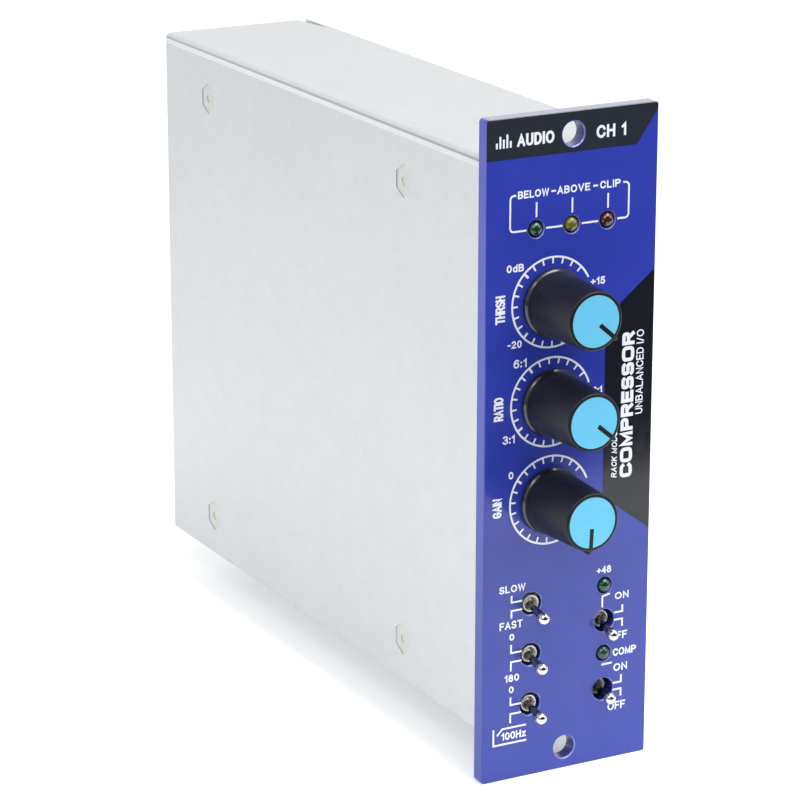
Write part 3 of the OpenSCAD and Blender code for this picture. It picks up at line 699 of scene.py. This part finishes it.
def lamp_bracket():
    """The rounded bracket that joins the three level lamps, its ticks and the dashes between words."""
    bm = bmesh.new()
    left, right, top, bottom, corner = -13.75, 12.5, 51.65, 44.65, 0.8
    first_end, last_end = -12.5, 11.2
    lamp_r, dash_half = 2.15, 0.5
    tick = (47.0, 49.9)
    lamps = [lamp_axis(name)[0] for name in LEVEL_LAMPS]
    lines = [
        [(first_end, top),
         *arc((left + corner, top - corner), corner, 0, -90, 6),
         *arc((left + corner, bottom + corner), corner, -90, -180, 6),
         (lamps[0] - lamp_r, bottom)],
    ]
    lines += [[(start + lamp_r, bottom), (end - lamp_r, bottom)] for start, end in zip(lamps, lamps[1:])]
    lines += [
        [(lamps[2] + lamp_r, bottom),
         *arc((right - corner, bottom + corner), corner, 180, 90, 6),
         *arc((right - corner, top - corner), corner, 90, 0, 6),
         (last_end, top)],
    ]
    lines += [[(x, height) for height in tick] for x in lamps]
    lines += [[(x - dash_half, top), (x + dash_half, top)] for x in (-4.3, 5.0)]
    for line in lines:
        ribbon(bm, line, LINE_W)
    print_piece(bm, "lamp_bracket")


def switch_lines():
    """Angle brackets beside each switch, the filter curve and the lamp lines."""
    bm = bmesh.new()
    brackets = (
        (-12.5, -10.1, (-28.2, -29.6, -31.35, -32.9)),
        (-12.5, -10.1, (-38.4, -40.1, -42.0, -43.9)),
        (-12.5, -10.1, (-49.4, -51.0, -52.9, -54.8)),
        (13.0, 11.1, (-34.4, -35.8, -37.35, -38.9)),
        (13.0, 11.1, (-49.2, -50.75, -52.2, -53.8)),
    )
    for outer, inner, (top, upper, lower, bottom) in brackets:
        ribbon(bm, [(outer, top), (outer, upper), (inner, upper)], LINE_W)
        ribbon(bm, [(outer, bottom), (outer, lower), (inner, lower)], LINE_W)
    for line in ([(8.3, -34.2), (8.3, -31.9), (10.0, -31.6)],
                 [(8.4, -46.35), (10.8, -46.3)],
                 [(-16.3, -55.6), (-16.3, -59.0), (-8.8, -59.0)],
                 [(-15.5, -57.0), (-14.3, -55.75), (-8.9, -55.75)]):
        ribbon(bm, line, LINE_W)
    print_piece(bm, "switch_lines")


def legends():
    """Plain generic legends and numbers, as [text, x range, z range]."""
    upright = {
        "level_legends": [
            ("BELOW", (-12.1, -5.3), (50.9, 52.4)), ("ABOVE", (-3.5, 3.8), (50.9, 52.4)),
            ("CLIP", (6.0, 10.6), (50.9, 52.4)),
        ],
        "dial_numbers": [
            ("0dB", (-14.4, -10.6), (36.8, 38.3)), ("-20", (-14.1, -10.9), (21.8, 23.3)),
            ("+15", (4.2, 7.5), (32.1, 33.6)), ("6:1", (-12.7, -9.75), (17.8, 19.5)),
            ("3:1", (-14.9, -12.2), (2.9, 4.6)), ("20:1", (4.0, 7.3), (10.2, 11.7)),
            ("0", (-13.5, -12.4), (-4.3, -2.8)),
        ],
        "switch_legends": [
            ("SLOW", (-15.3, -9.4), (-27.5, -26.0)), ("FAST", (-15.15, -9.95), (-35.05, -33.45)),
            ("0", (-12.9, -11.8), (-37.5, -36.1)), ("180", (-13.9, -10.6), (-46.1, -44.6)),
            ("0", (-12.9, -11.8), (-48.5, -47.1)), ("100Hz", (-14.5, -8.9), (-58.2, -56.6)),
            ("+48", (6.8, 10.2), (-27.1, -25.6)), ("ON", (11.2, 14.4), (-33.1, -31.6)),
            ("OFF", (10.1, 14.2), (-41.55, -39.95)), ("COMP", (11.0, 16.4), (-45.05, -43.45)),
            ("ON", (11.2, 14.4), (-48.3, -46.7)), ("OFF", (10.0, 14.1), (-56.5, -54.8)),
        ],
    }
    for name, labels in upright.items():
        bm = bmesh.new()
        for text, x_range, z_range in labels:
            lettering(bm, text, x_range, z_range)
        print_piece(bm, name)
    bm = bmesh.new()
    for text, x_range, z_range in (("THRSH", (-16.75, -14.65), (26.95, 32.55)),
                                   ("RATIO", (-16.9, -14.8), (7.75, 12.5)),
                                   ("GAIN", (-16.95, -14.95), (-11.8, -7.8))):
        lettering(bm, text, x_range, z_range, 0.4, gap=0.04, turned=True)
    print_piece(bm, "dial_names")


def stripe_words():
    bm = bmesh.new()
    lettering(bm, "COMPRESSOR", (11.7, 14.5), (-7.85, 21.7), 0.74, SQUARE, -0.04, turned=True)
    lettering(bm, "UNBALANCED I/O", (15.0, 16.65), (4.75, 21.85), 0.24, turned=True)
    lettering(bm, "RACK MODULE", (9.75, 11.0), (-7.6, 4.0), 0.24, turned=True, slant=0.2)
    print_piece(bm, "stripe_words")


def header_mark():
    """A plain row of level bars with a generic word, and a channel number."""
    bm = bmesh.new()
    left, pitch, foot = -16.8, 0.75, 61.0
    for index, height in enumerate((1.1, 2.3, 1.7, 2.6, 1.3)):
        x = left + index * pitch
        ribbon(bm, [(x, foot), (x, foot + height)], 0.4)
    lettering(bm, "AUDIO", (-12.4, -4.3), (foot, 63.4), 0.5)
    lettering(bm, "CH 1", (5.0, 11.6), (60.8, 63.3), 0.5)
    print_piece(bm, "header_mark")


# ---------------------------------------------------------------- knobs

def facing_front(x, z, turn=0.0):
    """Places a shape whose own +Z points out of the panel and whose own +Y is its pointer."""
    place = Matrix.Translation(on_panel(x, z))
    place @= Matrix.Rotation(math.radians(90), 4, "X")
    place @= Matrix.Rotation(math.radians(-turn), 4, "Z")
    return place @ Matrix.Scale(MM, 4)


def lathe(bm, profile, segments, place, depth_at=None):
    """Turns (radius, height) pairs about +Z. depth_at gives how far each point is cut in."""
    rings = []
    for radius, height in profile:
        if radius == 0:
            rings.append([bm.verts.new(place @ Vector((0, 0, height)))])
            continue
        ring = []
        for step in range(segments):
            angle = 2 * math.pi * step / segments
            r = radius - (depth_at(angle, height) if depth_at else 0)
            ring.append(bm.verts.new(place @ Vector((r * math.sin(angle), r * math.cos(angle), height))))
        rings.append(ring)
    for low, high in zip(rings, rings[1:]):
        for step in range(segments):
            nearby = (step + 1) % segments
            corners = []
            for ring, index in ((low, step), (low, nearby), (high, nearby), (high, step)):
                vertex = ring[index % len(ring)]
                if vertex not in corners:
                    corners.append(vertex)
            if len(corners) > 2:
                bm.faces.new(corners)


def loft(bm, sections, place):
    """A closed solid through sections that have the same number of points."""
    rings = [[bm.verts.new(place @ Vector(point)) for point in section] for section in sections]
    count = len(rings[0])
    for low, high in zip(rings, rings[1:]):
        for index in range(count):
            after = (index + 1) % count
            bm.faces.new((low[index], low[after], high[after], high[index]))
    bm.faces.new(rings[0])
    bm.faces.new(rings[-1])


def rib_cut(angle, height):
    """How far the knob's side is cut in between its ribs."""
    low, high = RIB_SPAN
    inside = min(height - low, high - height) / RIB_FADE
    wave = 0.5 - 0.5 * math.cos(RIBS * angle)
    return RIB_DEPTH * wave ** 1.6 * max(0.0, min(1.0, inside))


def knob_profile():
    """(radius, height) pairs of the knob's section, which is a closed ring round its bore."""
    low, high = RIB_SPAN
    inside_skirt = [(3.05, 4.2), (5.75, 4.2), (5.75, 0.55), (5.85, 0.5)]
    skirt = [(6.66, 0.5), (6.77, 0.57), (6.8, 0.7), (6.8, 1.0), (6.78, 1.15), (6.72, 1.27), (6.62, 1.4),
             (6.5, 1.54), (6.38, 1.7), (6.33, 1.86), (6.31, 2.1), (6.31, 2.7), (6.31, 3.4), (6.31, 3.9)]
    heights = (low, low + RIB_FADE, 6, 9, 12, high - RIB_FADE, high)
    body = [(6.36 - (height - 3.1) * 0.0486, height) for height in heights]
    crown = [(5.78, 15.3), (5.77, 15.55), (5.7, 15.76), (5.55, 15.87), (5.4, 15.9), (5.16, 15.88),
             (5.07, 15.78)]
    cap_seat = [(5.06, 15.6), (5.06, 14.8), (3.05, 14.8)]
    return inside_skirt + skirt + body + crown + cap_seat


def fin(height, root, tip):
    """One section of the pointer fin that runs up the knob's side."""
    flank = [(0.16, tip - 0.04), (0.3, tip - 0.2), (0.62, root)]
    outline = [(-x, y) for x, y in reversed(flank)] + [(0, tip)] + flank
    return [(x, y, height) for x, y in outline]


def pointer_bar(height):
    """One section of the bar in the cap's slot, rounded at its inner end."""
    half, inner, outer = 0.5, 1.25, 5.2
    outline = arc((0, inner + half), half, 90, 270, 9) + [(-half, outer), (half, outer)]
    return [(x, y, height) for x, y in outline]


def knob(control):
    """Skirted knob with fine ribs, a raised pointer up its side and a bar in the cap's slot."""
    place = facing_front(*control_axis(control), TURNS[control])
    count = RIBS * STEPS_PER_RIB
    bm = bmesh.new()
    lathe(bm, knob_profile(), count, place, rib_cut)
    bm.verts.ensure_lookup_table()
    first, last = bm.verts[:count], bm.verts[-count:]
    for step in range(count):
        nearby = (step + 1) % count
        bm.faces.new((last[step], last[nearby], first[nearby], first[step]))
    fins = ((2.4, 6.0, 6.62), (9, 5.7, 6.58), (15.4, 5.4, 6.52), (15.74, 5.3, 6.36), (15.86, 5.2, 6.1))
    loft(bm, [fin(*section) for section in fins], place)
    loft(bm, [pointer_bar(height) for height in (15.42, 15.84)], place)
    finish_mesh(bm, control + "_ribbed_knob", knob_black, control + "_control", 40,
                [control + "_knob"])


# ---------------------------------------------------------------- toggle levers

def lever(switch):
    """A turned lever with a ball at its pivot and a round tip, and its cross pin."""
    pivot = Vector(joints[switch + "_flip"]["pos_m"])
    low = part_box(switch + "_lever")[0]
    tip = Vector((pivot.x, low.y + TIP_R * MM, low.z + TIP_R * MM))
    along = tip - pivot
    reach = along.length / MM
    turn = along.to_track_quat("Z", "Y").to_matrix().to_4x4()
    place = Matrix.Translation(pivot) @ turn @ Matrix.Scale(MM, 4)
    profile = [(0, -3.2), (0.42, -3.2), (0.5, -3.1), (0.5, -1.16)]
    profile += ball_arc(0, BALL_R, 155, 36)
    profile += [(0.66, 1.1), (0.62, 1.4), (0.7, 3.0), (0.79, 4.6), (0.8, 5.1), (0.84, reach - 1.16)]
    profile += ball_arc(reach, TIP_R, 135, 0)
    bm = bmesh.new()
    lathe(bm, profile, 40, place)
    sideways = Matrix.Translation(pivot) @ Matrix.Rotation(math.radians(90), 4, "Y") @ Matrix.Scale(MM, 4)
    pin_end = [(0, PIN_HALF), (PIN_R - PIN_EDGE, PIN_HALF), (PIN_R, PIN_HALF - PIN_EDGE)]
    lathe(bm, [(r, -height) for r, height in pin_end] + pin_end[::-1], 16, sideways)
    piece = finish_mesh(bm, switch + "_turned_lever", lever_nickel, switch + "_toggle",
                        50, [switch + "_lever"])
    # Painted light on one nickel lever: the shaft takes the darker copy as painted shade, and the pivot
    # ball takes the brighter bushing nickel as a painted highlight.
    piece.data.materials.append(painted_shade_shaft_nickel)
    piece.data.materials.append(bushing_nickel)
    for polygon in piece.data.polygons:
        away = (polygon.center - pivot).length / MM
        polygon.material_index = 2 if away < BALL_R * 1.02 else 1 if away < reach - TIP_R * 0.7 else 0


def ball_arc(height, radius, start, end, steps=12):
    """(radius, height) pairs round a ball, from start to end degrees away from its top."""
    angles = [math.radians(start + (end - start) * step / steps) for step in range(steps + 1)]
    return [(max(0, radius * math.sin(angle)), height + radius * math.cos(angle)) for angle in angles]


# ---------------------------------------------------------------- lamps

def lamp_core(lamp):
    """The metal post, cup and anvil inside a lamp's epoxy."""
    place = facing_front(*lamp_axis(lamp))
    bm = bmesh.new()
    cup = [(0, -3.2), (0.3, -3.2), (0.3, -1.9), (0.62, -1.2), (0.62, -1.0), (0.5, -1.0),
           (0.3, -1.25), (0, -1.25)]
    lathe(bm, cup, 24, place @ Matrix.Translation((0.35, 0, 0)))
    post = [(-1.05, -0.2), (-0.45, -0.2), (-0.45, 0.2), (-1.05, 0.2)]
    loft(bm, [[(x, y, height) for x, y in post] for height in (-3.2, -1.15)], place)
    finish_mesh(bm, lamp + "_lamp_core", tin, MODULE)


# ---------------------------------------------------------------- stage

def add_camera():
    camera = bpy.data.cameras.new("camera")
    camera.lens = LENS_MM
    camera.sensor_width = 36
    camera.clip_start = 0.01
    camera.clip_end = 20
    eye = bpy.data.objects.new("camera", camera)
    eye.location = CAMERA_AT
    yaw = Matrix.Rotation(math.radians(-CAMERA_YAW), 3, "Z")
    pitch = Matrix.Rotation(math.radians(90 + CAMERA_PITCH), 3, "X")
    roll = Matrix.Rotation(math.radians(CAMERA_ROLL), 3, "Z")
    eye.rotation_euler = (yaw @ pitch @ roll).to_euler()
    bpy.context.scene.collection.objects.link(eye)
    bpy.context.scene.camera = eye


def table():
    surface = Surface("pale_table", srgb(250, 250, 250), 0.75,
                      Emission_Color=(0.94, 0.98, 1.0, 1), Emission_Strength=TABLE_GLOW)
    surface.tint(surface.noise(300, 2), srgb(249, 249, 249), srgb(251, 251, 251))
    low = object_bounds()[0].z
    corners = [(side * TABLE_HALF_WIDTH * MM, y * MM, low) for side, y in
               ((-1, -TABLE_FRONT), (1, -TABLE_FRONT), (1, TABLE_DEPTH), (-1, TABLE_DEPTH))]
    mesh = bpy.data.meshes.new("table")
    mesh.from_pydata(corners, [], [(0, 1, 2, 3)])
    mesh.materials.append(surface.material)
    floor = bpy.data.objects.new("table", mesh)
    bpy.context.scene.collection.objects.link(floor)
    floor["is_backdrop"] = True


def softbox(name, place, size, power):
    lamp = bpy.data.lights.new(name, "AREA")
    lamp.shape = "RECTANGLE"
    lamp.size, lamp.size_y = (value * MM for value in size)
    lamp.energy = power
    holder = bpy.data.objects.new(name, lamp)
    holder.location = Vector(place) * MM
    holder.rotation_euler = (Vector(LIT_POINT) * MM - holder.location).to_track_quat("-Z", "Y").to_euler()
    holder.visible_camera = False
    bpy.context.scene.collection.objects.link(holder)


def studio():
    """A white light tent on a table: open and dark towards the front, and dark below the table."""
    world = bpy.data.worlds.new("studio")
    bpy.context.scene.world = world
    world.use_nodes = True
    tree = world.node_tree
    background = tree.nodes["Background"]
    direction = tree.nodes.new("ShaderNodeTexCoord").outputs["Generated"]
    axes = tree.nodes.new("ShaderNodeSeparateXYZ")
    tree.links.new(direction, axes.inputs[0])
    brightness = None
    for axis, start, end, low, high in TENT:
        ramp = tree.nodes.new("ShaderNodeMapRange")
        tree.links.new(axes.outputs[axis], ramp.inputs["Value"])
        for socket, value in zip(RANGE_SOCKETS, (start, end, low, high)):
            ramp.inputs[socket].default_value = value
        if brightness:
            product = tree.nodes.new("ShaderNodeMath")
            product.operation = "MULTIPLY"
            tree.links.new(brightness, product.inputs[0])
            tree.links.new(ramp.outputs[0], product.inputs[1])
            brightness = product.outputs[0]
        else:
            brightness = ramp.outputs[0]
    tree.links.new(brightness, background.inputs["Strength"])
    background.inputs["Color"].default_value = (1.0, 0.995, 0.99, 1)
    for name, place, size, power in SOFTBOXES:
        softbox(name, place, size, power)
    bpy.context.scene.view_settings.view_transform = "Standard"


add_camera()
dress_all()
soften_all()
control_scale("threshold", -225, 63.5, (-45, -135))
control_scale("ratio", -214, 72, (-34, -124))
control_scale("gain", -221, 69, (-56,))
lamp_bracket()
switch_lines()
legends()
stripe_words()
header_mark()
for control in CONTROLS:
    knob(control)
for switch in SWITCHES:
    lever(switch)
for lamp in LAMPS:
    lamp_core(lamp)
table()
studio()
